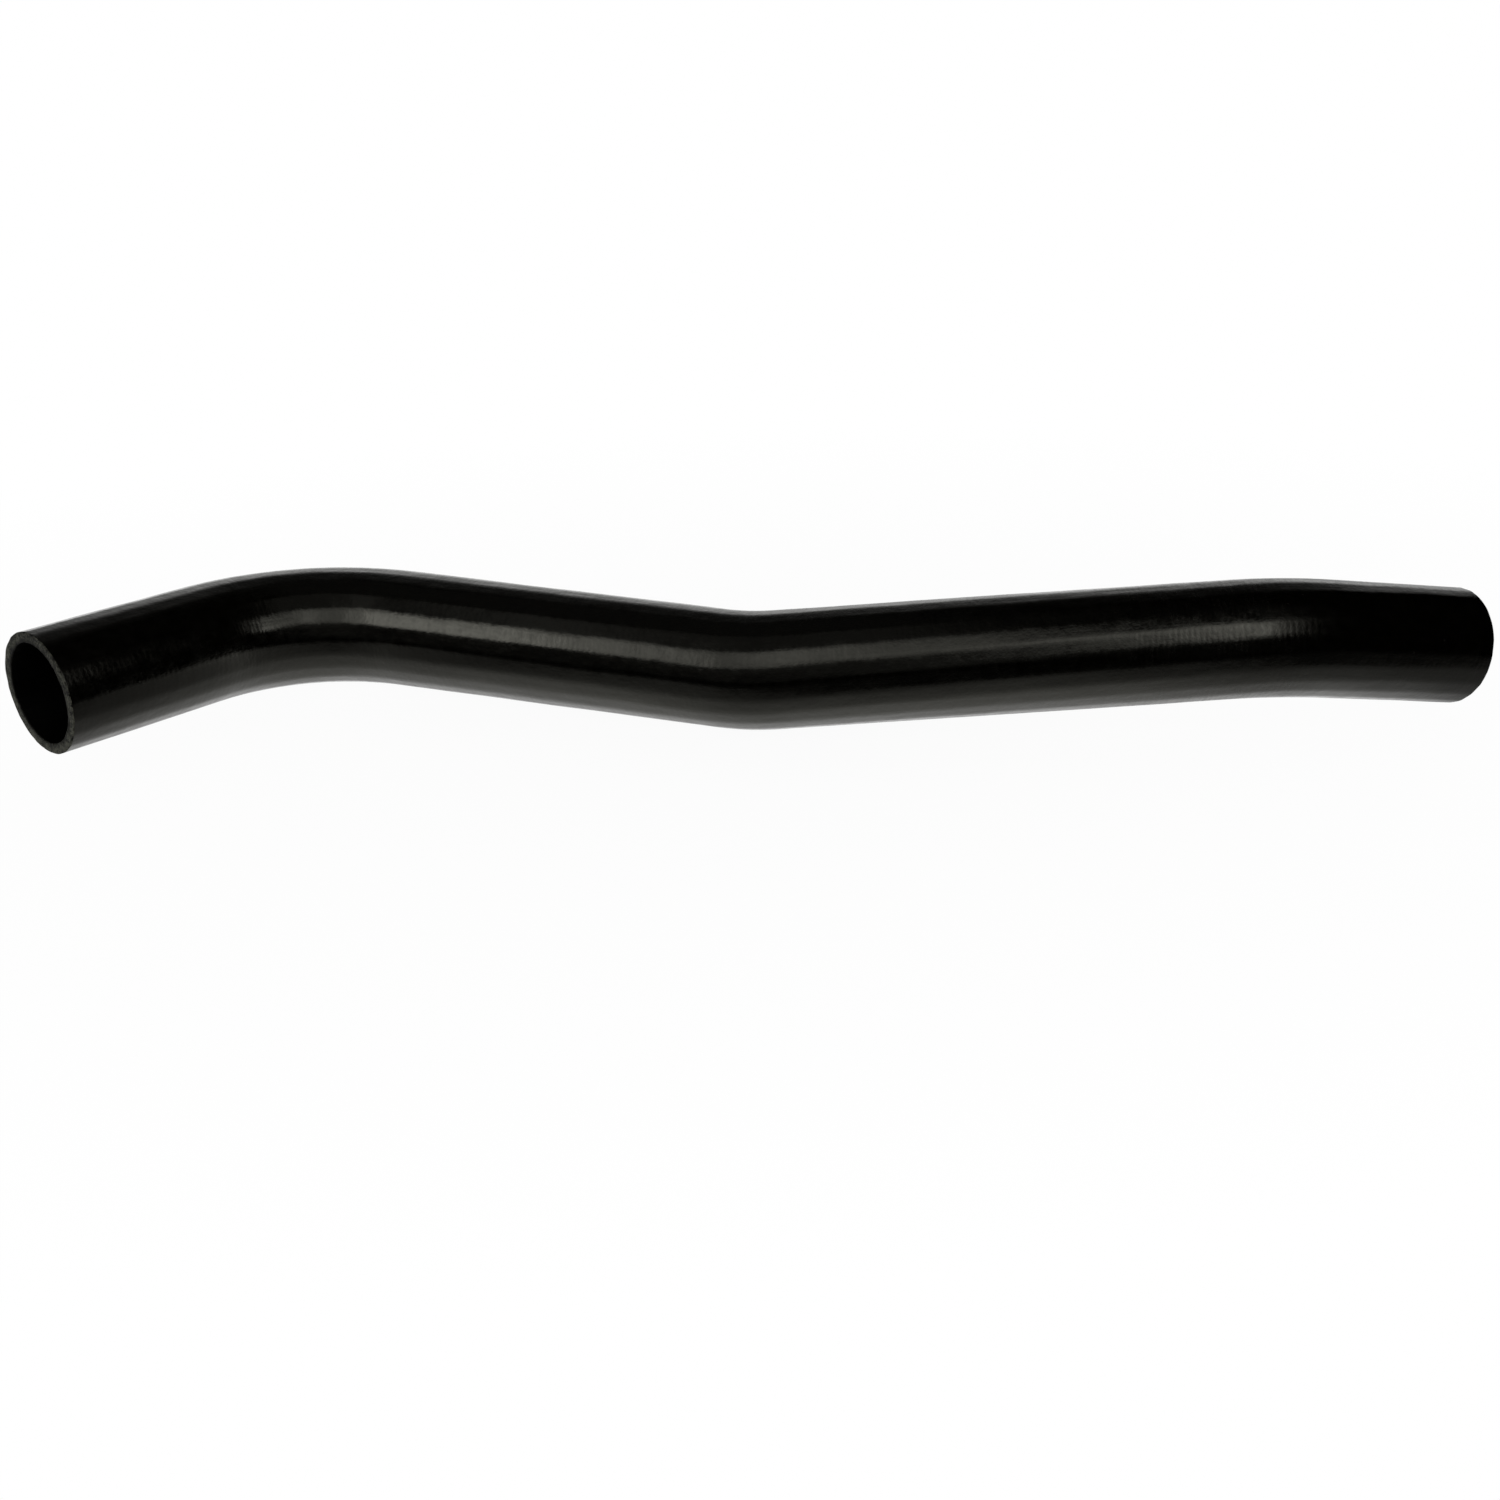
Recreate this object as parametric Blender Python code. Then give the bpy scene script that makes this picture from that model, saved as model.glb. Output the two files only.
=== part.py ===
"""Fuel filler hose: one moulded rubber tube with three bends, lying on its side.

Metres, +Z up, with the origin under the middle of the hose, on the surface that it lies on.
+X runs from the mouth end, where the fuel goes in, to the tail end.
"""
from math import atan2, ceil, cos, radians, sin

import bmesh
import bpy
from mathutils import Matrix, Vector
from mathutils.geometry import intersect_point_tri

# Section
BORE_DIAMETER = 0.0508
WALL = 0.0056
# Small round on the inner and outer edge of each cut end
EDGE_ROUND = 0.0006

# Centre line, as straight runs and bends from the mouth end to the tail end
MOUTH_RUN = 0.0920
SHORT_RUN = 0.1755
LONG_RUN = 0.2370
TAIL_RUN = 0.0830
FIRST_BEND_RADIUS = 0.1000
FIRST_BEND_ANGLE = radians(63.5)
SECOND_BEND_RADIUS = 0.1070
SECOND_BEND_ANGLE = radians(15.9)
THIRD_BEND_RADIUS = 0.1560
THIRD_BEND_ANGLE = radians(18.8)
# The side that each bend turns to, as a roll from the hose's top line, clockwise seen from the mouth end
FIRST_BEND_ROLL = radians(86.9)
SECOND_BEND_ROLL = radians(-72.1)
THIRD_BEND_ROLL = radians(-132.7)

# Fineness of the faces
SIDES = 48
BEND_STEP = radians(4.5)
ROUND_SEGMENTS = 2
# A cut edge is square, and the edges between a round wall's own faces are much flatter than this
SHARP_ANGLE = radians(45.0)
SMOOTH_ANGLE = radians(30.0)

RUBBER_COLOUR = (0.012, 0.012, 0.011, 1.0)
RUBBER_ROUGHNESS = 0.38


class HoseRun:
    """A ring section drawn along a course of straight runs and bends.

    `rims` are the edges round the bore and the outside at the open end, and `place` is that end's pose:
    its X axis is the run, and its Z axis the hose's top line.
    """

    def __init__(self, bore_radius, outer_radius):
        self.mesh = bmesh.new()
        self.place = Matrix()
        facing_run = Matrix.Rotation(radians(90.0), 4, "Y")
        for radius in (bore_radius, outer_radius):
            bmesh.ops.create_circle(self.mesh, segments=SIDES, radius=radius, matrix=facing_run)
        self.rims = self.mesh.edges[:]
        self.close_end()

    def close_end(self):
        """The cut face between the two rims."""
        bmesh.ops.bridge_loops(self.mesh, edges=self.rims)

    def go_straight(self, length):
        drawn = bmesh.ops.extrude_edge_only(self.mesh, edges=self.rims)["geom"]
        verts = [item for item in drawn if isinstance(item, bmesh.types.BMVert)]
        step = Matrix.Translation((length, 0.0, 0.0))
        bmesh.ops.translate(self.mesh, verts=verts, vec=self.place.to_3x3() @ step.to_translation())
        self.rims = [item for item in drawn if isinstance(item, bmesh.types.BMEdge)]
        self.place = self.place @ step

    def bend(self, radius, angle, roll):
        towards = self.place.to_3x3() @ Vector((0.0, -sin(roll), cos(roll)))
        centre = self.place.to_translation() + towards * radius
        axis = self.place.to_3x3().col[0].cross(towards)
        drawn = bmesh.ops.spin(
            self.mesh, geom=self.rims, cent=centre, axis=axis, angle=angle,
            steps=ceil(angle / BEND_STEP))["geom_last"]
        self.rims = [item for item in drawn if isinstance(item, bmesh.types.BMEdge)]
        about_centre = Matrix.Translation(centre) @ Matrix.Rotation(angle, 4, axis)
        self.place = about_centre @ Matrix.Translation(-centre) @ self.place

    def round_cut_edges(self, size):
        cut_edges = [edge for edge in self.mesh.edges if edge.calc_face_angle() > SHARP_ANGLE]
        bmesh.ops.bevel(
            self.mesh, geom=cut_edges, offset=size, offset_type="OFFSET",
            segments=ROUND_SEGMENTS, profile=0.5, affect="EDGES")


def draw_hose():
    """The hose from its mouth end, which starts at the origin and runs along X."""
    run = HoseRun(BORE_DIAMETER / 2, BORE_DIAMETER / 2 + WALL)
    run.go_straight(MOUTH_RUN)
    run.bend(FIRST_BEND_RADIUS, FIRST_BEND_ANGLE, FIRST_BEND_ROLL)
    run.go_straight(SHORT_RUN)
    run.bend(SECOND_BEND_RADIUS, SECOND_BEND_ANGLE, SECOND_BEND_ROLL)
    run.go_straight(LONG_RUN)
    run.bend(THIRD_BEND_RADIUS, THIRD_BEND_ANGLE, THIRD_BEND_ROLL)
    run.go_straight(TAIL_RUN)
    run.close_end()
    bmesh.ops.recalc_face_normals(run.mesh, faces=run.mesh.faces)
    run.round_cut_edges(EDGE_ROUND)
    return run


def centre_of_mass(mesh):
    """Centre of the solid inside a closed mesh, summed over the wedges under its triangles."""
    volume = 0.0
    moment = Vector()
    for loops in mesh.calc_loop_triangles():
        a, b, c = (loop.vert.co for loop in loops)
        wedge = a.dot(b.cross(c)) / 6
        volume += wedge
        moment += wedge * (a + b + c) / 4
    return moment / volume


def resting_turn(mesh):
    """The turn that lays a solid on a flat surface, in the stable way nearest to how it is drawn."""
    centre = centre_of_mass(mesh)
    hull = bmesh.new()
    for vert in mesh.verts:
        hull.verts.new(vert.co)
    bmesh.ops.convex_hull(hull, input=hull.verts)
    bmesh.ops.recalc_face_normals(hull, faces=hull.faces)
    under_centre = [
        face.normal.copy() for face in hull.faces
        if intersect_point_tri(centre, *(vert.co for vert in face.verts))]
    hull.free()
    down = min(under_centre, key=lambda normal: normal.z)
    return down.rotation_difference(Vector((0.0, 0.0, -1.0))).to_matrix().to_4x4()


def lying_place(run):
    """Where the drawn hose lies: at rest, with its ends along X, and its box over the origin."""
    rest = resting_turn(run.mesh)
    mouth_to_tail = rest @ run.place.to_translation()
    turn = Matrix.Rotation(-atan2(mouth_to_tail.y, mouth_to_tail.x), 4, "Z") @ rest
    points = [turn @ vert.co for vert in run.mesh.verts]
    low = Vector(min(point[i] for point in points) for i in range(3))
    high = Vector(max(point[i] for point in points) for i in range(3))
    middle = (low + high) / 2
    return Matrix.Translation((-middle.x, -middle.y, -low.z)) @ turn


def rubber():
    material = bpy.data.materials.new("black_rubber")
    material.use_nodes = True
    shader = material.node_tree.nodes["Principled BSDF"]
    shader.inputs["Base Color"].default_value = RUBBER_COLOUR
    shader.inputs["Roughness"].default_value = RUBBER_ROUGHNESS
    shader.inputs["Metallic"].default_value = 0.0
    return material


def add_hose():
    run = draw_hose()
    mesh = bpy.data.meshes.new("filler_hose")
    run.mesh.to_mesh(mesh)
    mesh.shade_smooth()
    mesh.set_sharp_from_angle(angle=SMOOTH_ANGLE)
    mesh.materials.append(rubber())
    hose = bpy.data.objects.new("filler_hose", mesh)
    hose.matrix_world = lying_place(run)
    bpy.context.collection.objects.link(hose)
    run.mesh.free()


def main():
    for old in list(bpy.data.objects):
        bpy.data.objects.remove(old)
    add_hose()


main()
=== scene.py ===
"""Looks of the fuel filler hose: one moulded rubber tube with three bends, lying on a pale floor.

Metres, +Z up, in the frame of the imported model. +X runs from the hose's mouth end to its tail end.
"""
from math import cos, pi, radians, sin

import bpy
from mathutils import Matrix, Vector


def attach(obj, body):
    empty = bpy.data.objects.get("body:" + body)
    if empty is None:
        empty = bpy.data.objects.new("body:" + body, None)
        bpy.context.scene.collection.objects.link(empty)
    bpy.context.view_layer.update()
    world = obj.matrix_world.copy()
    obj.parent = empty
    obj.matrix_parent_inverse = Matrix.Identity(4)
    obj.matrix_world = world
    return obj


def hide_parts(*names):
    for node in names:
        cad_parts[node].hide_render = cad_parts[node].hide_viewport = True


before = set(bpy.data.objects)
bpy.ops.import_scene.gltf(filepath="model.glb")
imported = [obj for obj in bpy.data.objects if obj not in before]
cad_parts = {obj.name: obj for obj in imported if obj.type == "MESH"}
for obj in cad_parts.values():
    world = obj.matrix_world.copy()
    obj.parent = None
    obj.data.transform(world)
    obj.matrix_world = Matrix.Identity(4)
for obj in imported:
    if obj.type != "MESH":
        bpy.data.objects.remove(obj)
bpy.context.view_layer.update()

# The hose's own sizes, as in its source
HOSE_SIZES = {
    "Bore Diameter": 0.0508,
    "Wall": 0.0056,
    "Edge Round": 0.0006,
    "Mouth Run": 0.0920,
    "First Bend Radius": 0.1000,
    "First Bend Angle": radians(63.5),
    "First Bend Roll": radians(86.9),
    "Short Run": 0.1755,
    "Second Bend Radius": 0.1070,
    "Second Bend Angle": radians(15.9),
    "Second Bend Roll": radians(-72.1),
    "Long Run": 0.2370,
    "Third Bend Radius": 0.1560,
    "Third Bend Angle": radians(18.8),
    "Third Bend Roll": radians(-132.7),
    "Tail Run": 0.0830,
}
# Where the middle of the mouth lies, and how the hose is turned there, from lying straight along X
MOUTH_PLACE = (-0.358266, -0.037647, 0.047924)
MOUTH_TURN = (radians(-0.073), radians(6.335), radians(42.37))

# The cloth that the hose was cured in left long soft flats on its outside, which keeps its mean size
HOSE_FLATS = {
    "Flats": 23.0,
    "Flat Share": 0.85,
    "Flat Turn": radians(-205.0),
    "Flat Twist": radians(-20.0),
    "Twist Start": 0.375,
    "Twist End": 0.74,
    "Edge Softness": 3,
}

# Fineness of the piece, and how far its soft wall and its cuts are from true
HOSE_FINENESS = {
    "Sides": 184,
    "Station Length": 0.0033,
    "Wall Waviness": 0.00012,
    "Cut Waviness": 0.00014,
}
EDGE_ROUND_POINTS = 4
# Swells of the wall in each metre, along X and across it, and waves of its cuts
WALL_SWELLS = (22.0, 55.0, 55.0)
CUT_WAVES = 160.0

# Name under which each point keeps its place on the straight hose: X along it, Y and Z across it
HOSE_PLACE = "hose_place"

# Gloss of the rubber, a little warm
GLOSS_TINT = (1.0, 0.985, 0.86, 1.0)
RUBBER_IOR = 1.55
CUT_GLOSS = 0.04
BORE_GLOSS = 0.15
# Roughness of each finish where its marks add none
SKIN_ROUGHNESS = 0.08
CUT_ROUGHNESS = 0.5
BORE_ROUGHNESS = 0.36

# Darkest and palest colour of each finish
SKIN_COLOURS = ((0.0006, 0.0005, 0.0003), (0.0014, 0.0012, 0.0007))
CUT_COLOURS = ((0.001, 0.001, 0.0008), (0.100, 0.101, 0.080))
# The bore's colours are darker than the skin's, as painted shade inside the tube
BORE_COLOURS = ((0.0003, 0.0003, 0.0002), (0.0008, 0.0008, 0.0006))
DUST_COLOUR = (0.014, 0.014, 0.012, 1.0)

# Where along the hose the plain ridges rise, and where they end
RIDGES_RISE = (0.56, 0.60)
RIDGES_END = (0.69, 0.665)
RIDGE_PITCH = 0.0028
# Swells in each metre of the ridges' drift, and how many ridges a whole drift moves them by
DRIFT_SWELLS = 45.0
DRIFT_RIDGES = 6.0
# Loose threads in each metre across the hose, and how crowded they are
THREADS_ACROSS = 70.0
THREAD_CROWDING = 1.3
# Patches in each metre, the part of their noise that is used, and the share of ridges against threads in them
PATCH_SWELLS = 28.0
PATCH_SPAN = (0.35, 0.65)
PATCH_RIDGES = (0.15, 0.75)

# Distances from the middle between which the painted shade next to the bore fades out, from black to the
# cut's own grey
CUT_BORE_SHADE_EDGE = (0.0252, 0.0282)
# The cut's highest and lowest point, how pale it is painted there as painted light from the floor below, and
# how much of its tone is lost to black
CUT_HEIGHTS = (0.031, -0.031)
CUT_LIGHT_FROM_BELOW = (0.12, 0.54)
CUT_BLACKNESS = 0.75

NUMBER = "NodeSocketFloat"
VECTOR = "NodeSocketVector"
# Nearly every value of a noise lies between these two
NOISE_SPAN = (0.3, 0.7)

CAMERA_PLACE = (-0.10754, -0.77584, 0.45849)
CAMERA_YAW = radians(7.56)
CAMERA_DIP = radians(32.14)
CAMERA_ROLL = radians(0.547)
CAMERA_LENS = 40.035

# Corners of a square that is 2 across
SQUARE = ((-1, -1), (1, -1), (1, 1), (-1, 1))

WHITE = (1.0, 1.0, 1.0, 1.0)
BLACK = (0.0, 0.0, 0.0, 1.0)
FLOOR_WHITE = (0.9, 0.9, 0.9, 1.0)
FLOOR_HALF = 14.0
# Light from all round, on everything but what is seen or mirrored
AMBIENT_LEVEL = 0.60
# How much of the floor's own shading shows under the white, the distances over which that fades from the
# middle of the floor, and how much longer the shadow's patch is along X
SHADOW_SHARE = 0.045
SHADOW_REACH = (0.05, 0.40)
SHADOW_SQUASH = (0.5, 1.0, 1.0)

# The studio's dark room, which only the hose's gloss sees
ROOM_HALF = 3.5
ROOM_HEIGHT = 4.5
# A point this close to a wall or the roof is on it
ROOM_TOUCH = 0.01
# Height at which the white backdrop has faded to a half, and how quickly it fades there
BACKDROP_HEIGHT = 1.0
BACKDROP_FADE = 3.0
# The backdrop's left and right side, each as the X between which it changes, and its level at the two
BACKDROP_LEFT = (-1.4, -0.85, 0.35, 1.0)
BACKDROP_RIGHT = (2.5, 3.3, 1.0, 0.5)
# The roof's faint glow, given in the same way
ROOF_GLOW = (0.3, 1.0, 0.03, 0.0)

# Line that the black card in front of the hose follows, as X, Y and how wide its soft edge is there, and how
# dark the card is at each distance in front of the line
CARD_LINE = (
    (-3.50, -0.060, 1.00), (-0.60, -0.060, 1.00), (-0.34, -0.025, 1.00), (-0.31, -0.012, 0.95),
    (-0.28, 0.008, 0.92), (-0.25, 0.024, 0.90), (-0.23, 0.029, 0.90), (-0.20, 0.020, 0.90),
    (-0.16, 0.002, 1.00), (-0.12, -0.018, 1.00), (-0.08, -0.036, 0.85), (-0.03, -0.045, 0.72),
    (0.04, -0.061, 0.70), (0.08, -0.066, 0.85), (0.13, -0.072, 1.10), (0.18, -0.072, 1.10),
    (0.30, -0.058, 1.00), (0.35, -0.033, 1.00), (0.39, 0.002, 1.00), (3.50, 0.002, 1.00))
CARD_SHADES = (
    (-0.012, 0.0), (0.000, 0.05), (0.010, 0.17), (0.020, 0.31), (0.040, 0.55), (0.060, 0.71), (0.090, 0.79),
    (0.130, 0.85), (0.170, 0.92), (0.210, 0.97), (0.500, 0.99))
CARD_LIFT = 0.001

# Grey card on the floor behind the tail, as X, the Y where it begins and how dark it is there, then how wide
# its near edge is, and the Y where its far edge begins and ends
REAR_CARD = (
    (0.05, 0.45, 0.00), (0.20, 0.40, 0.28), (0.45, 0.16, 0.42), (0.60, 0.12, 0.50), (0.90, 0.12, 0.50),
    (1.30, 0.12, 0.00))
REAR_CARD_EDGE = 0.15
REAR_CARD_END = (1.6, 2.6)

# Light screen in front of the hose and above it, on one plane that leans over it. SCREEN_AIM is the height
# that its middle faces. SCREEN_TOP is where the glow above the band ends, SCREEN_FADE is half the width over
# which the outer edges fade, and BAND_SHOULDER is the band's level just inside its soft edges, as a share of
# its middle.
SCREEN_DISTANCE = 0.7
SCREEN_RISE = radians(50.0)
SCREEN_AIM = 0.04
SCREEN_TOP = 0.62
SCREEN_FADE = 0.12
BAND_SHOULDER = 0.68
# Each place along the screen is an X, the foot of the faint glow below its bright band, the band's lower and
# upper edge, how soft those edges are, the glow below them, the band's middle level, and the glow above it.
LIGHT_SCREEN = (
    (-1.60, -0.60, -0.17, 0.19, 0.06, 0.000, 0.00, 0.00),
    (-1.25, -0.60, -0.18, 0.20, 0.06, 0.020, 0.55, 0.02),
    (-0.95, -0.60, -0.19, 0.21, 0.06, 0.045, 1.70, 0.05),
    (-0.76, -0.60, -0.19, 0.21, 0.06, 0.045, 2.60, 0.07),
    (-0.69, -0.60, -0.19, 0.21, 0.06, 0.045, 2.40, 0.07),
    (-0.63, -0.60, -0.18, 0.21, 0.06, 0.050, 2.75, 0.08),
    (-0.57, -0.60, -0.18, 0.20, 0.06, 0.055, 1.85, 0.11),
    (-0.49, -0.60, -0.19, 0.19, 0.06, 0.070, 1.33, 0.19),
    (-0.43, -0.58, -0.20, 0.18, 0.06, 0.090, 1.52, 0.20),
    (-0.36, -0.52, -0.21, 0.17, 0.06, 0.090, 0.82, 0.10),
    (-0.30, -0.50, -0.21, 0.17, 0.06, 0.090, 0.68, 0.09),
    (-0.22, -0.50, -0.21, 0.17, 0.06, 0.090, 0.78, 0.09),
    (-0.14, -0.50, -0.21, 0.17, 0.06, 0.100, 1.08, 0.08),
    (-0.06, -0.50, -0.20, 0.18, 0.06, 0.100, 1.17, 0.07),
    (0.01, -0.50, -0.19, 0.17, 0.08, 0.090, 0.87, 0.10),
    (0.07, -0.50, -0.20, 0.15, 0.09, 0.090, 0.82, 0.09),
    (0.14, -0.50, -0.20, 0.13, 0.11, 0.080, 1.02, 0.05),
    (0.22, -0.50, -0.185, 0.125, 0.10, 0.050, 1.10, 0.02),
    (0.31, -0.50, -0.20, 0.115, 0.08, 0.030, 1.40, 0.01),
    (0.36, -0.50, -0.24, 0.09, 0.09, 0.030, 1.90, 0.01),
    (0.40, -0.50, -0.24, 0.07, 0.09, 0.030, 2.60, 0.01),
    (0.44, -0.50, -0.24, 0.07, 0.09, 0.020, 1.80, 0.02),
    (0.50, -0.50, -0.20, 0.18, 0.10, 0.010, 0.48, 0.02),
    (0.57, -0.50, -0.14, 0.22, 0.10, 0.010, 0.22, 0.01),
    (0.72, -0.50, -0.08, 0.26, 0.10, 0.000, 0.03, 0.00),
    (0.80, -0.50, -0.08, 0.26, 0.10, 0.000, 0.00, 0.00),
)


class NodeBench:
    """Adds nodes to one tree and joins them. A value is a socket to take it from, or the value itself."""

    def __init__(self, tree):
        self.tree = tree

    def add(self, kind, values=None, **settings):
        node = self.tree.nodes.new(kind)
        for name, setting in settings.items():
            setattr(node, name, setting)
        for name, value in (values or {}).items():
            self.give(node, name, value)
        return node

    def give(self, node, name, value):
        if isinstance(value, bpy.types.NodeSocket):
            self.tree.links.new(value, node.inputs[name])
        else:
            node.inputs[name].default_value = value

    def make(self, kind, values=None, result=0, **settings):
        """Adds a node, and returns one of the things that it puts out."""
        return self.add(kind, values, **settings).outputs[result]

    def number(self, operation, *values):
        return self.make("ShaderNodeMath", dict(enumerate(values)), operation=operation)

    def mix(self, share, low, high):
        return self.make("ShaderNodeMix", {0: share, 2: low, 3: high}, data_type="FLOAT")

    def clamp(self, value, low, high):
        return self.number("MINIMUM", self.number("MAXIMUM", value, low), high)

    def map_range(self, value, low, high, to_low=0.0, to_high=1.0):
        return self.make("ShaderNodeMapRange", {
            "Value": value, "From Min": low, "From Max": high, "To Min": to_low, "To Max": to_high}, "Result")

    def vector(self, operation, *values, result=0):
        return self.make("ShaderNodeVectorMath", dict(enumerate(values)), result, operation=operation)

    def length(self, vector):
        return self.vector("LENGTH", vector, result="Value")

    def scale(self, vector, factor):
        return self.make("ShaderNodeVectorMath", {0: vector, "Scale": factor}, operation="SCALE")

    def join(self, x=0.0, y=0.0, z=0.0):
        return self.make("ShaderNodeCombineXYZ", {"X": x, "Y": y, "Z": z})

    def split(self, vector):
        return self.add("ShaderNodeSeparateXYZ", {0: vector}).outputs

    def noise(self, place, scale, detail):
        return self.make("ShaderNodeTexNoise", {"Vector": place, "Scale": scale, "Detail": detail}, "Fac")

    def full_noise(self, place, scale, detail, low=0.0, high=1.0):
        """A noise whose values fill nearly all between low and high."""
        return self.map_range(self.noise(place, scale, detail), *NOISE_SPAN, low, high)


def add_sockets(tree, inputs, outputs):
    """Names a tree's inputs and outputs, and returns its two end nodes and a bench for what lies between."""
    for name, kind in inputs.items():
        tree.interface.new_socket(name=name, in_out="INPUT", socket_type=kind)
    for name, kind in outputs.items():
        tree.interface.new_socket(name=name, in_out="OUTPUT", socket_type=kind)
    return tree.nodes.new("NodeGroupInput"), tree.nodes.new("NodeGroupOutput"), NodeBench(tree)


def run_and_bend_group():
    """Node group: how far a straight run and the bend after it have carried a point along the hose.

    Place is the pose of the hose's middle line: its X axis is the run, and its Z axis the top line.
    """
    tree = bpy.data.node_groups.new("run_and_bend", "GeometryNodeTree")
    start, end, bench = add_sockets(
        tree,
        {"Place": "NodeSocketMatrix", "Way Left": NUMBER, "Run": NUMBER,
         "Bend Radius": NUMBER, "Bend Angle": NUMBER, "Bend Roll": NUMBER},
        {"Place": "NodeSocketMatrix", "Way Left": NUMBER})
    given = start.outputs
    along_run = bench.clamp(given["Way Left"], 0.0, given["Run"])
    way_in_bend = bench.number("SUBTRACT", given["Way Left"], given["Run"])
    turned = bench.number("DIVIDE", way_in_bend, given["Bend Radius"])
    turned = bench.clamp(turned, 0.0, given["Bend Angle"])
    side = bench.number("SINE", given["Bend Roll"])
    up = bench.number("COSINE", given["Bend Roll"])
    minus_side = bench.number("MULTIPLY", side, -1.0)
    minus_up = bench.number("MULTIPLY", up, -1.0)
    towards = bench.join(0.0, minus_side, up)
    axis = bench.join(0.0, minus_up, minus_side)
    centre = bench.scale(towards, given["Bend Radius"])
    turn = bench.make("FunctionNodeAxisAngleToRotation", {"Axis": axis, "Angle": turned})
    centre_turned = bench.make("FunctionNodeRotateVector", {"Vector": centre, "Rotation": turn})
    step = bench.vector("ADD", bench.join(along_run), bench.vector("SUBTRACT", centre, centre_turned))
    carried = bench.make("FunctionNodeCombineTransform", {"Translation": step, "Rotation": turn})
    place = bench.make("FunctionNodeMatrixMultiply", {0: given["Place"], 1: carried})
    bend_length = bench.number("MULTIPLY", given["Bend Radius"], given["Bend Angle"])
    bench.give(end, "Place", place)
    bench.give(end, "Way Left", bench.number("SUBTRACT", way_in_bend, bend_length))
    return tree


def middle_line_length(bench, size):
    """Whole length of the hose's middle line: its runs and the arcs of its bends."""
    length = bench.number("ADD", size["Mouth Run"], size["Tail Run"])
    for run in ("Short Run", "Long Run"):
        length = bench.number("ADD", length, size[run])
    for bend in ("First Bend", "Second Bend", "Third Bend"):
        arc = bench.number("MULTIPLY", size[bend + " Radius"], size[bend + " Angle"])
        length = bench.number("ADD", length, arc)
    return length


def straight_tube(bench, size, length, wall_radius, here):
    """A straight tube from its wall's section, with round corners and short enough steps to bend well."""
    section = bench.make("GeometryNodeCurvePrimitiveQuadrilateral", {"Width": size["Wall"], "Height": length})
    section = bench.make(
        "GeometryNodeFilletCurve",
        {"Curve": section, "Radius": size["Edge Round"], "Count": EDGE_ROUND_POINTS}, mode="POLY")
    next_point = bench.make("GeometryNodeOffsetPointInCurve", {"Offset": 1}, "Point Index")
    there = bench.make(
        "GeometryNodeFieldAtIndex", {"Index": next_point, "Value": here},
        domain="POINT", data_type="FLOAT_VECTOR")
    step = bench.vector("DISTANCE", here, there, result="Value")
    cuts = bench.number("FLOOR", bench.number("DIVIDE", step, size["Station Length"]))
    section = bench.make("GeometryNodeSubdivideCurve", {"Curve": section, "Cuts": cuts})
    ring = bench.make(
        "GeometryNodeCurvePrimitiveCircle", {"Resolution": size["Sides"], "Radius": wall_radius})
    return bench.make("GeometryNodeCurveToMesh", {"Curve": ring, "Profile Curve": section})


def flat_relief(bench, size, here, wall_radius, half_wall):
    """Step that draws the outside in to its flats and out at their edges. The bore stays round."""
    flat_angle = bench.number("DIVIDE", 2 * pi, size["Flats"])
    half_flat = bench.number("MULTIPLY", flat_angle, 0.5)
    round_angle = bench.number("ARCTAN2", here["Y"], here["X"])
    off_middle = bench.number("SUBTRACT", bench.number("FLOORED_MODULO", round_angle, flat_angle), half_flat)
    flat_radius = bench.number(
        "DIVIDE", bench.number("COSINE", half_flat), bench.number("COSINE", off_middle))
    # What the flats take from the hose's radius on average is given back, so that it keeps its size
    mean_dip = bench.number("MULTIPLY", bench.number("MULTIPLY", half_flat, half_flat), 1 / 3)
    relief = bench.number("ADD", bench.number("SUBTRACT", flat_radius, 1.0), mean_dip)
    out_here = bench.join(here["X"], here["Y"])
    from_wall_middle = bench.number("SUBTRACT", bench.length(out_here), wall_radius)
    outer_share = bench.clamp(bench.number("DIVIDE", from_wall_middle, half_wall), 0.0, 1.0)
    relief = bench.number("MULTIPLY", relief, bench.number("MULTIPLY", outer_share, size["Flat Share"]))
    relief = bench.make(
        "GeometryNodeBlurAttribute", {0: relief, "Iterations": size["Edge Softness"], "Weight": 1.0},
        data_type="FLOAT")
    return bench.scale(out_here, relief)


def place_on_straight_hose(bench, size, here, length):
    """Place of each point of the tube with its flats twisted, X along the hose from the mouth."""
    along = bench.number("ADD", here["Z"], bench.number("MULTIPLY", length, 0.5))
    twist = bench.map_range(along, size["Twist Start"], size["Twist End"], 0.0, size["Flat Twist"])
    twist = bench.number("ADD", twist, size["Flat Turn"])
    return bench.make(
        "ShaderNodeVectorRotate", {"Vector": bench.join(along, here["X"], here["Y"]), "Angle": twist},
        rotation_type="X_AXIS")


def off_true(bench, size, here):
    """Soft rubber is never quite true: the wall swells and dips, and the knife wanders at the cuts."""
    normal = bench.make("GeometryNodeInputNormal")
    swell = bench.full_noise(bench.vector("MULTIPLY", here, WALL_SWELLS), scale=1.0, detail=2.0, low=-1.0)
    swell = bench.number("MULTIPLY", swell, size["Wall Waviness"])
    wander = bench.full_noise(here, CUT_WAVES, detail=1.0, low=-1.0)
    wander = bench.number("MULTIPLY", wander, size["Cut Waviness"])
    facing_end = bench.number("ABSOLUTE", bench.split(normal)["X"])
    return bench.scale(normal, bench.mix(facing_end, swell, wander))


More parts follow.
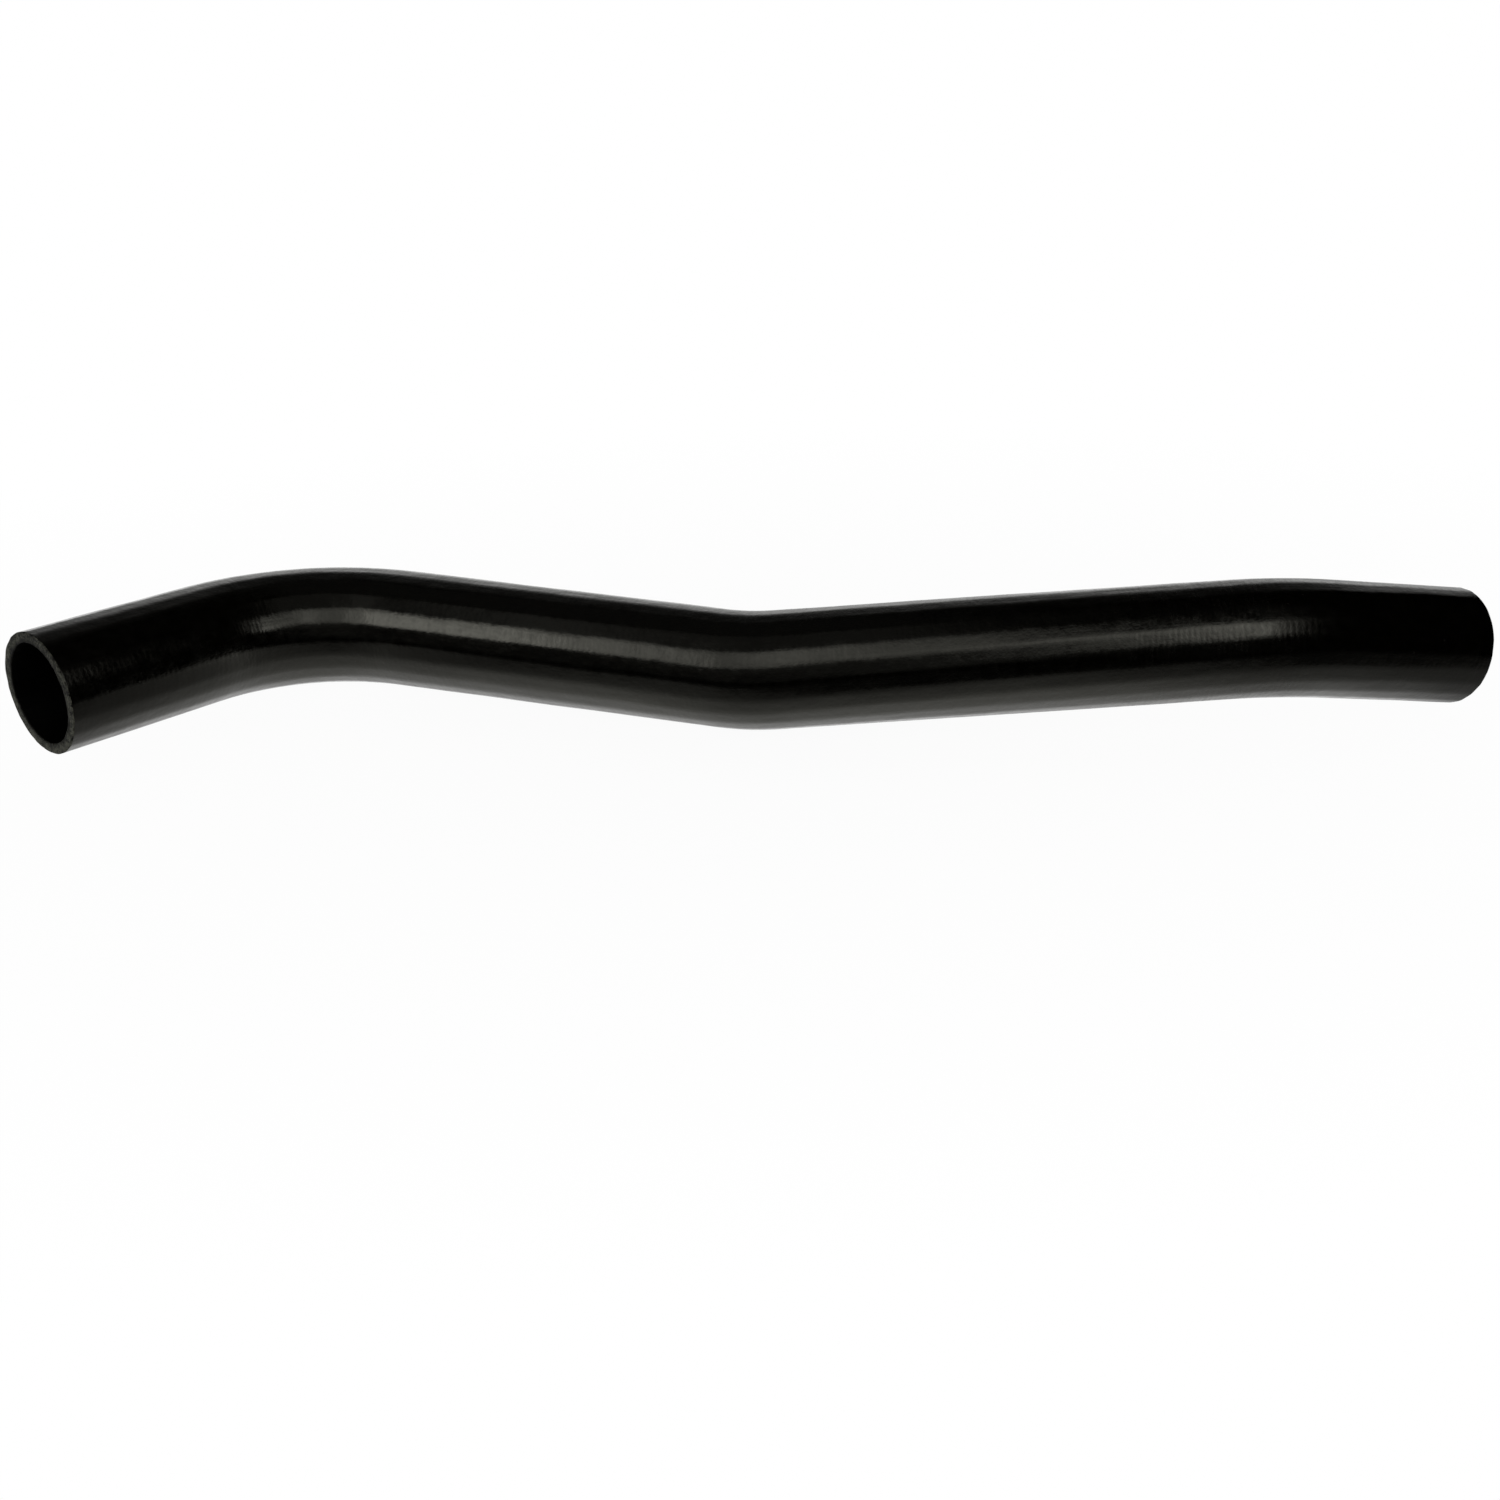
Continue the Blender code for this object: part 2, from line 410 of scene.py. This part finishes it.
def place_on_course(bench, size, here):
    """Place of each point once its runs and bends have carried it from the straight hose."""
    straight = bench.split(here)
    bends = run_and_bend_group()
    place = bench.make("FunctionNodeCombineTransform")
    way_left = straight["X"]
    for run, bend in (("Mouth", "First"), ("Short", "Second"), ("Long", "Third")):
        sizes = {"Bend " + part: size[f"{bend} Bend {part}"] for part in ("Radius", "Angle", "Roll")}
        carried = bench.add(
            "GeometryNodeGroup",
            {"Place": place, "Way Left": way_left, "Run": size[run + " Run"], **sizes},
            node_tree=bends).outputs
        place = carried["Place"]
        way_left = carried["Way Left"]
    in_tail = bench.number("MAXIMUM", way_left, 0.0)
    # Points before the mouth's own plane, where the cut wanders, keep their small step back
    before_mouth = bench.number("MINIMUM", straight["X"], 0.0)
    last_step = bench.number("ADD", in_tail, before_mouth)
    across = bench.join(last_step, straight["Y"], straight["Z"])
    return bench.make("FunctionNodeTransformPoint", {"Vector": across, "Transform": place})


def hose_tree(skin, cut_face, lining):
    """Geometry Nodes: a straight tube from its section, then bent along its course, then laid down."""
    tree = bpy.data.node_groups.new("moulded_hose", "GeometryNodeTree")
    inputs = {"Geometry": "NodeSocketGeometry"}
    inputs.update({name: NUMBER for name in (*HOSE_SIZES, *HOSE_FLATS, *HOSE_FINENESS)})
    inputs.update({"Sides": "NodeSocketInt", "Edge Softness": "NodeSocketInt"})
    inputs.update({"Mouth Place": VECTOR, "Mouth Turn": VECTOR})
    start, end, bench = add_sockets(tree, inputs, {"Geometry": "NodeSocketGeometry"})
    size = start.outputs
    here = bench.make("GeometryNodeInputPosition")
    length = middle_line_length(bench, size)
    half_wall = bench.number("MULTIPLY", size["Wall"], 0.5)
    wall_radius = bench.number("ADD", bench.number("MULTIPLY", size["Bore Diameter"], 0.5), half_wall)

    # The straight tube stands along Z at first, and is laid along X as each point's place is kept
    tube = straight_tube(bench, size, length, wall_radius, here)
    standing = bench.split(here)
    relief = flat_relief(bench, size, standing, wall_radius, half_wall)
    tube = bench.make("GeometryNodeSetPosition", {"Geometry": tube, "Offset": relief})
    straight = place_on_straight_hose(bench, size, standing, length)
    tube = bench.make(
        "GeometryNodeStoreNamedAttribute", {"Geometry": tube, "Name": HOSE_PLACE, "Value": straight},
        data_type="FLOAT_VECTOR", domain="POINT")
    tube = bench.make("GeometryNodeSetPosition", {"Geometry": tube, "Position": straight})
    tube = bench.make("GeometryNodeSetPosition", {"Geometry": tube, "Offset": off_true(bench, size, here)})
    bent = place_on_course(bench, size, here)
    tube = bench.make("GeometryNodeSetPosition", {"Geometry": tube, "Position": bent})
    tube = bench.make("GeometryNodeTransform", {
        "Geometry": tube, "Translation": size["Mouth Place"], "Rotation": size["Mouth Turn"]})

    # Finishes
    kept = bench.split(
        bench.make("GeometryNodeInputNamedAttribute", {"Name": HOSE_PLACE}, data_type="FLOAT_VECTOR"))
    from_middle = bench.length(bench.join(0.0, kept["Y"], kept["Z"]))
    in_bore = bench.number("LESS_THAN", from_middle, wall_radius)
    half_round = bench.number("MULTIPLY", size["Edge Round"], 0.5)
    from_end = bench.number("MINIMUM", kept["X"], bench.number("SUBTRACT", length, kept["X"]))
    on_cut = bench.number("LESS_THAN", from_end, half_round)
    tube = bench.make("GeometryNodeSetShadeSmooth", {"Geometry": tube})
    tube = bench.make("GeometryNodeRealizeInstances", {"Geometry": tube})
    tube = bench.make("GeometryNodeSetMaterial", {"Geometry": tube, "Material": skin})
    for chosen, finish in ((in_bore, lining), (on_cut, cut_face)):
        tube = bench.make(
            "GeometryNodeSetMaterial", {"Geometry": tube, "Selection": chosen, "Material": finish})
    bench.give(end, "Geometry", tube)
    return tree


def set_inputs(modifier, values):
    """Sets a Geometry Nodes modifier's inputs, found by the names on its tree."""
    for item in modifier.node_group.interface.items_tree:
        if item.item_type == "SOCKET" and item.in_out == "INPUT" and item.name in values:
            modifier[item.identifier] = values[item.name]


def make_hose(skin, cut_face, lining):
    hose = bpy.data.objects.new("moulded_hose", bpy.data.meshes.new("moulded_hose"))
    bpy.context.scene.collection.objects.link(hose)
    shape = hose.modifiers.new("Moulded hose", "NODES")
    shape.node_group = hose_tree(skin, cut_face, lining)
    set_inputs(shape, {
        **HOSE_SIZES, **HOSE_FLATS, **HOSE_FINENESS, "Mouth Place": MOUTH_PLACE, "Mouth Turn": MOUTH_TURN})
    hose.modifiers.new("Flat faces first", "WEIGHTED_NORMAL")
    depsgraph = bpy.context.evaluated_depsgraph_get()
    finished = bpy.data.meshes.new_from_object(
        hose.evaluated_get(depsgraph), preserve_all_data_layers=True, depsgraph=depsgraph)
    hose.modifiers.clear()
    hose.data = finished
    finished.name = "moulded_hose"
    return hose


def shader_group(name, inputs, outputs):
    """An empty shader node group. Each input comes with its kind and its usual value, if it has one.

    It returns what the group is given, its end node and a bench.
    """
    tree = bpy.data.node_groups.new(name, "ShaderNodeTree")
    kinds = {item: kind for item, (kind, _) in inputs.items()}
    start, end, bench = add_sockets(tree, kinds, outputs)
    for item in tree.interface.items_tree:
        if item.in_out == "INPUT" and inputs[item.name][1] is not None:
            item.default_value = inputs[item.name][1]
    return start.outputs, end, bench


def add_wrap_mark_group():
    """Fine ridges round the hose, which the cloth left that it was cured in."""
    given, end, bench = shader_group(
        "wrap_marks",
        {"Place": (VECTOR, None), "Pitch": (NUMBER, RIDGE_PITCH), "Wander": (NUMBER, 0.4),
         "Evenness": (NUMBER, 0.0)},
        {"Height": NUMBER})
    per_metre = bench.number("DIVIDE", 1.0, given["Pitch"])
    turns = bench.number("MULTIPLY", bench.split(given["Place"])["X"], per_metre)
    drift = bench.noise(given["Place"], DRIFT_SWELLS, detail=2.0)
    drift = bench.number("MULTIPLY", drift, bench.number("MULTIPLY", given["Wander"], DRIFT_RIDGES))
    wave = bench.number("SINE", bench.number("MULTIPLY", bench.number("ADD", turns, drift), 2 * pi))
    wave = bench.map_range(wave, -1.0, 1.0)
    # Loose threads of the cloth, each a short way round
    stretch = bench.join(per_metre, THREADS_ACROSS, THREADS_ACROSS)
    threads = bench.full_noise(
        bench.vector("MULTIPLY", given["Place"], stretch), THREAD_CROWDING, detail=2.0)
    patches = bench.noise(given["Place"], PATCH_SWELLS, detail=1.0)
    patches = bench.map_range(patches, *PATCH_SPAN, *PATCH_RIDGES)
    patches = bench.number("MAXIMUM", patches, given["Evenness"])
    bench.give(end, "Height", bench.mix(patches, threads, wave))


def add_streak_group():
    """Fine lines along the hose, from its mandrel and from handling."""
    given, end, bench = shader_group(
        "streaks",
        {"Place": (VECTOR, None), "Spacing": (NUMBER, 0.002), "Length": (NUMBER, 0.2)},
        {"Mask": NUMBER})
    along = bench.number("DIVIDE", 1.0, given["Length"])
    across = bench.number("DIVIDE", 1.0, given["Spacing"])
    stretched = bench.vector("MULTIPLY", given["Place"], bench.join(along, across, across))
    bench.give(end, "Mask", bench.full_noise(stretched, scale=1.0, detail=1.0))


def add_cloud_group():
    """Broad soft patches, and a fine grain inside them."""
    given, end, bench = shader_group(
        "clouds_and_grain",
        {"Place": (VECTOR, None), "Cloud Size": (NUMBER, 0.02), "Grain Size": (NUMBER, 0.0006)},
        {"Clouds": NUMBER, "Grain": NUMBER})
    for mask, size in (("Clouds", "Cloud Size"), ("Grain", "Grain Size")):
        scale = bench.number("DIVIDE", 1.0, given[size])
        bench.give(end, mask, bench.full_noise(given["Place"], scale, detail=1.0))


def add_speck_group():
    """Sparse small specks of dust and lint."""
    given, end, bench = shader_group(
        "specks",
        {"Place": (VECTOR, None), "Spacing": (NUMBER, 0.006), "Size": (NUMBER, 0.0003),
         "Share": (NUMBER, 0.2)},
        {"Mask": NUMBER})
    scale = bench.number("DIVIDE", 1.0, given["Spacing"])
    cells = bench.add("ShaderNodeTexVoronoi", {"Vector": given["Place"], "Scale": scale}).outputs
    reach = bench.number("DIVIDE", given["Size"], given["Spacing"])
    near = bench.number("LESS_THAN", cells["Distance"], reach)
    pick = bench.make("ShaderNodeSeparateColor", {0: cells["Color"]})
    bench.give(end, "Mask", bench.number("MULTIPLY", near, bench.number("LESS_THAN", pick, given["Share"])))


class Finish:
    """A material of the hose, with its shader, its bench and the place of each point on the straight hose."""

    def __init__(self, name):
        self.material = bpy.data.materials.new(name)
        self.material.use_nodes = True
        self.shader = self.material.node_tree.nodes["Principled BSDF"]
        self.bench = NodeBench(self.material.node_tree)
        self.place = self.bench.make("ShaderNodeAttribute", result="Vector", attribute_name=HOSE_PLACE)

    def effect(self, group, **values):
        sizes = {name.replace("_", " "): value for name, value in values.items()}
        tree = bpy.data.node_groups[group]
        return self.bench.add("ShaderNodeGroup", {"Place": self.place, **sizes}, node_tree=tree).outputs

    def blend(self, share, low, high):
        """A colour between two, by a mask."""
        return self.bench.make("ShaderNodeMix", {0: share, 6: low, 7: high}, 2, data_type="RGBA")

    def tones(self, share, colours):
        """A colour between a finish's darkest and palest, by a mask."""
        low, high = colours
        return self.blend(share, (*low, 1.0), (*high, 1.0))

    def add_up(self, *parts):
        """Sum of heights or masks, each with its weight."""
        total = 0.0
        for value, weight in parts:
            total = self.bench.number("ADD", total, self.bench.number("MULTIPLY", value, weight))
        return total

    def finish(self, colour, roughness, height, depth):
        self.shader.inputs["Specular Tint"].default_value = GLOSS_TINT
        self.shader.inputs["IOR"].default_value = RUBBER_IOR
        bump = self.bench.make("ShaderNodeBump", {"Height": height, "Distance": depth, "Strength": 1.0})
        self.bench.give(self.shader, "Base Color", colour)
        self.bench.give(self.shader, "Roughness", roughness)
        self.bench.give(self.shader, "Normal", bump)
        return self.material


def rubber_skin():
    """The outside: black satin rubber with the curing cloth's marks, faint lines along it and dust."""
    skin = Finish("rubber_skin")
    bench = skin.bench
    patches = skin.effect("clouds_and_grain", Cloud_Size=0.006, Grain_Size=0.0018)
    fine = skin.effect("clouds_and_grain", Cloud_Size=0.03, Grain_Size=0.0009)
    marks = skin.effect("wrap_marks", Pitch=RIDGE_PITCH, Wander=0.25)["Height"]
    lines = skin.effect("streaks", Spacing=0.0024, Length=0.12)["Mask"]
    specks = skin.effect("specks", Spacing=0.009, Size=0.0004, Share=0.07)["Mask"]
    # The cloth was wound tightest just before the third bend, and left plain ridges there
    ridges = skin.effect("wrap_marks", Pitch=RIDGE_PITCH, Wander=0.04, Evenness=0.95)["Height"]
    along = bench.split(skin.place)["X"]
    risen = bench.map_range(along, *RIDGES_RISE)
    ridged = bench.number("MULTIPLY", risen, bench.map_range(along, *RIDGES_END))
    ridges = bench.number("MULTIPLY", ridges, ridged)
    colour = skin.tones(skin.add_up((patches["Clouds"], 0.6), (lines, 0.4)), SKIN_COLOURS)
    colour = skin.blend(specks, colour, DUST_COLOUR)
    roughness = skin.add_up(
        (patches["Clouds"], 0.09), (patches["Grain"], 0.08), (marks, 0.03), (ridges, 0.05), (specks, 0.15))
    roughness = bench.number("ADD", roughness, SKIN_ROUGHNESS)
    height = skin.add_up(
        (marks, 1.3), (ridges, 1.6), (patches["Clouds"], 3.8), (patches["Grain"], 1.6), (fine["Grain"], 0.4),
        (lines, 1.2), (specks, 0.8))
    return skin.finish(colour, roughness, height, depth=0.000014)


def cut_rubber():
    """The two cut ends: dull dark grey and crumbly, painted paler low down as light from the floor below, and
    painted darker next to the bore as shade from its hollow.
    """
    cut = Finish("cut_rubber")
    bench = cut.bench
    cut.shader.inputs["Specular IOR Level"].default_value = CUT_GLOSS
    clouds = cut.effect("clouds_and_grain", Cloud_Size=0.0040, Grain_Size=0.0010)
    specks = cut.effect("specks", Spacing=0.0018, Size=0.0005, Share=0.35)["Mask"]
    place = bench.split(cut.place)
    # Painted shade: the cut darkens towards the bore's hollow
    out_of_bore_shade = bench.map_range(bench.length(bench.join(0.0, place["Y"], place["Z"])), *CUT_BORE_SHADE_EDGE)
    # Painted light: the cut is paler towards its bottom, as if lit from the floor below
    lit_from_below = bench.map_range(place["Z"], *CUT_HEIGHTS, *CUT_LIGHT_FROM_BELOW)
    tone = cut.add_up((clouds["Clouds"], 0.9), (clouds["Grain"], 1.0), (specks, 0.45), (lit_from_below, 1.0))
    tone = bench.number("MULTIPLY", bench.number("SUBTRACT", tone, CUT_BLACKNESS), out_of_bore_shade)
    roughness = bench.number("ADD", cut.add_up((clouds["Grain"], 0.2)), CUT_ROUGHNESS)
    height = cut.add_up((clouds["Clouds"], 1.5), (clouds["Grain"], 1.2), (specks, 0.8))
    return cut.finish(cut.tones(tone, CUT_COLOURS), roughness, height, depth=0.00010)


def bore_rubber():
    """The bore: black and dull, drawn off its mandrel, and painted darker than the outside as shade inside
    the tube.
    """
    bore = Finish("bore_rubber")
    bore.shader.inputs["Specular IOR Level"].default_value = BORE_GLOSS
    clouds = bore.effect("clouds_and_grain", Cloud_Size=0.012, Grain_Size=0.0008)
    streaks = bore.effect("streaks", Spacing=0.0016, Length=0.3)["Mask"]
    colour = bore.tones(bore.add_up((clouds["Clouds"], 0.5), (streaks, 0.5)), BORE_COLOURS)
    roughness = bore.add_up((streaks, 0.12), (clouds["Clouds"], 0.05))
    roughness = bore.bench.number("ADD", roughness, BORE_ROUGHNESS)
    height = bore.add_up((streaks, 0.8), (clouds["Grain"], 0.3))
    return bore.finish(colour, roughness, height, depth=0.000015)


def add_camera():
    camera = bpy.data.objects.new("camera", bpy.data.cameras.new("camera"))
    bpy.context.scene.collection.objects.link(camera)
    camera.data.lens = CAMERA_LENS
    turn = Matrix.Rotation(-CAMERA_YAW, 4, "Z")
    turn = turn @ Matrix.Rotation(pi / 2 - CAMERA_DIP, 4, "X")
    turn = turn @ Matrix.Rotation(CAMERA_ROLL, 4, "Z")
    camera.matrix_world = Matrix.Translation(CAMERA_PLACE) @ turn
    bpy.context.scene.camera = camera


def studio_mesh(name, points, faces, material):
    """A piece of the studio, which isn't part of the hose."""
    mesh = bpy.data.meshes.new(name)
    mesh.from_pydata(points, [], faces)
    mesh.materials.append(material)
    piece = bpy.data.objects.new(name, mesh)
    bpy.context.scene.collection.objects.link(piece)
    return piece


def gloss_only(piece):
    """Shows a piece of the studio in the hose's gloss, and nowhere else."""
    piece.visible_camera = False
    piece.visible_diffuse = False
    piece.visible_shadow = False
    piece.visible_transmission = False
    piece.visible_volume_scatter = False


def bare_material(name):
    """A material with only its output node, that node, and a bench."""
    material = bpy.data.materials.new(name)
    material.use_nodes = True
    tree = material.node_tree
    tree.nodes.remove(tree.nodes["Principled BSDF"])
    return material, tree.nodes["Material Output"], NodeBench(tree)


def seen_or_mirrored(bench):
    """1 for what the camera sees, straight or in gloss or through glass, and 0 for light on things."""
    path = bench.add("ShaderNodeLightPath").outputs
    seen = bench.number("ADD", path["Is Camera Ray"], path["Is Glossy Ray"])
    return bench.number("MINIMUM", bench.number("ADD", seen, path["Is Transmission Ray"]), 1.0)


def add_floor():
    """A white floor, which keeps a faint shadow close to the hose."""
    material, output, bench = bare_material("floor_white")
    place = bench.make("ShaderNodeTexCoord", result="Object")
    reach = bench.length(bench.vector("MULTIPLY", place, SHADOW_SQUASH))
    share = bench.map_range(reach, *SHADOW_REACH, SHADOW_SHARE, 0.0)
    lit = bench.make("ShaderNodeBsdfDiffuse", {"Color": FLOOR_WHITE})
    white = bench.make("ShaderNodeEmission", {"Color": WHITE, "Strength": 1.0})
    seen = bench.make("ShaderNodeMixShader", {0: share, 1: white, 2: lit})
    surface = bench.make("ShaderNodeMixShader", {0: seen_or_mirrored(bench), 1: lit, 2: seen})
    bench.give(output, "Surface", surface)
    corners = [(FLOOR_HALF * x, FLOOR_HALF * y, 0.0) for x, y in SQUARE]
    studio_mesh("floor", corners, [(0, 1, 2, 3)], material)


def add_world():
    """White where it is seen or mirrored, and a plain even light otherwise."""
    world = bpy.data.worlds.new("studio")
    world.use_nodes = True
    bench = NodeBench(world.node_tree)
    background = world.node_tree.nodes["Background"]
    background.inputs["Color"].default_value = WHITE
    level = bench.map_range(seen_or_mirrored(bench), 0.0, 1.0, AMBIENT_LEVEL, 1.0)
    bench.give(background, "Strength", level)
    bpy.context.scene.world = world


def add_dark_room():
    """Black walls and roof round the studio. Low at the back, the wall lets the white backdrop show.

    The backdrop is dimmer towards its two ends, and the roof glows faintly over the left of the studio.
    """
    material, output, bench = bare_material("dark_room")
    place = bench.split(bench.make("ShaderNodeTexCoord", result="Object"))
    behind = bench.number("GREATER_THAN", place["Y"], ROOM_HALF - ROOM_TOUCH)
    steep = bench.number("POWER", bench.number("DIVIDE", place["Z"], BACKDROP_HEIGHT), BACKDROP_FADE)
    opening = bench.number("DIVIDE", 1.0, bench.number("ADD", steep, 1.0))
    left = bench.map_range(place["X"], *BACKDROP_LEFT)
    right = bench.map_range(place["X"], *BACKDROP_RIGHT)
    for share in (behind, left, right):
        opening = bench.number("MULTIPLY", opening, share)
    overhead = bench.number("GREATER_THAN", place["Z"], ROOM_HEIGHT - ROOM_TOUCH)
    glow = bench.number("MULTIPLY", overhead, bench.map_range(place["X"], *ROOF_GLOW))
    dark = bench.make("ShaderNodeEmission", {"Color": WHITE, "Strength": glow})
    clear = bench.make("ShaderNodeBsdfTransparent")
    bench.give(output, "Surface", bench.make("ShaderNodeMixShader", {0: opening, 1: dark, 2: clear}))
    points = [(ROOM_HALF * x, ROOM_HALF * y, z) for z in (0.0, ROOM_HEIGHT) for x, y in SQUARE]
    walls = [(i, (i + 1) % 4, (i + 1) % 4 + 4, i + 4) for i in range(4)]
    gloss_only(studio_mesh("dark_room", points, [*walls, (4, 5, 6, 7)], material))


def strip_faces(columns, rows):
    """Faces of a grid of points that is written row by row."""
    return [
        (row * columns + i, row * columns + i + 1, (row + 1) * columns + i + 1, (row + 1) * columns + i)
        for row in range(rows - 1) for i in range(columns - 1)]


def add_point_levels(piece, name, levels):
    piece.data.attributes.new(name, "FLOAT", "POINT").data.foreach_set("value", levels)


def card_material():
    """Black where the card_shade level is 1, and clear where it is 0."""
    material, output, bench = bare_material("black_card")
    dark = bench.make("ShaderNodeAttribute", result="Fac", attribute_name="card_shade")
    black = bench.make("ShaderNodeEmission", {"Color": BLACK, "Strength": 0.0})
    clear = bench.make("ShaderNodeBsdfTransparent")
    bench.give(output, "Surface", bench.make("ShaderNodeMixShader", {0: dark, 1: clear, 2: black}))
    return material


def add_card(name, rows, shades, material):
    """A card on the floor, from rows of its points and how dark it is at each of them."""
    points = [point for row in rows for point in row]
    card = studio_mesh(name, points, strip_faces(len(rows[0]), len(rows)), material)
    add_point_levels(card, "card_shade", [shade for row in shades for shade in row])
    gloss_only(card)


def add_front_card(material):
    """A black card on the floor in front of the hose, with a soft edge that follows the hose."""
    rows = [[(x, y - step * spread, CARD_LIFT) for x, y, spread in CARD_LINE] for step, _ in CARD_SHADES]
    rows.append([(x, -ROOM_HALF, CARD_LIFT) for x, _, _ in CARD_LINE])
    shades = [[shade] * len(CARD_LINE) for _, shade in CARD_SHADES]
    shades.append(shades[-1])
    add_card("front_card", rows, shades, material)


def add_rear_card(material):
    """A grey card on the floor behind the tail, soft all round."""
    near = [(x, y, CARD_LIFT) for x, y, _ in REAR_CARD]
    rows = [near, [(x, y + REAR_CARD_EDGE, z) for x, y, z in near]]
    rows.extend([(x, y, CARD_LIFT) for x, _, _ in REAR_CARD] for y in REAR_CARD_END)
    full = [shade for _, _, shade in REAR_CARD]
    none = [0.0] * len(full)
    add_card("rear_card", rows, [none, full, full, none], material)


def screen_pose():
    """Pose of the light screen's plane: X along the hose, Y up the slope, Z towards the hose."""
    away = Vector((0.0, -cos(SCREEN_RISE), sin(SCREEN_RISE)))
    up = Vector((0.0, sin(SCREEN_RISE), cos(SCREEN_RISE)))
    middle = away * SCREEN_DISTANCE + Vector((0.0, 0.0, SCREEN_AIM))
    return Matrix.Translation(middle) @ Matrix((Vector((1, 0, 0)), up, -away)).transposed().to_4x4()


def screen_levels(foot, low, high, soft, under, bright, glow):
    """Places up the slope of the light screen, from its foot to its top, each with its light."""
    shoulder = bright * BAND_SHOULDER
    return (
        (foot - SCREEN_FADE, 0.0), (foot + SCREEN_FADE, under),
        (low - soft, under), (low, (under + shoulder) / 2), (low + soft, shoulder),
        ((low + high) / 2, bright),
        (high - soft, shoulder), (high, (glow + shoulder) / 2), (high + soft, glow),
        (SCREEN_TOP, glow), (SCREEN_TOP + SCREEN_FADE, 0.0))


def add_light_screen():
    """The long soft light over the hose: a bright band with soft edges, between two faint glows."""
    material, output, bench = bare_material("light_screen")
    level = bench.make("ShaderNodeAttribute", result="Fac", attribute_name="light_level")
    bench.give(output, "Surface", bench.make("ShaderNodeEmission", {"Color": WHITE, "Strength": level}))
    columns = [[(x, slope, light) for slope, light in screen_levels(*band)] for x, *band in LIGHT_SCREEN]
    spots = [spot for row in zip(*columns) for spot in row]
    pose = screen_pose()
    points = [tuple(pose @ Vector((x, slope, 0.0))) for x, slope, _ in spots]
    screen = studio_mesh("light_screen", points, strip_faces(len(columns), len(columns[0])), material)
    add_point_levels(screen, "light_level", [light for _, _, light in spots])
    screen.visible_camera = False


def main():
    bpy.context.scene.view_settings.view_transform = "Standard"
    add_camera()
    add_floor()
    add_world()
    add_dark_room()
    cards = card_material()
    add_front_card(cards)
    add_rear_card(cards)
    add_light_screen()
    add_wrap_mark_group()
    add_streak_group()
    add_cloud_group()
    add_speck_group()
    hose = make_hose(rubber_skin(), cut_rubber(), bore_rubber())
    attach(hose, "root")
    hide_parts("filler_hose")


main()
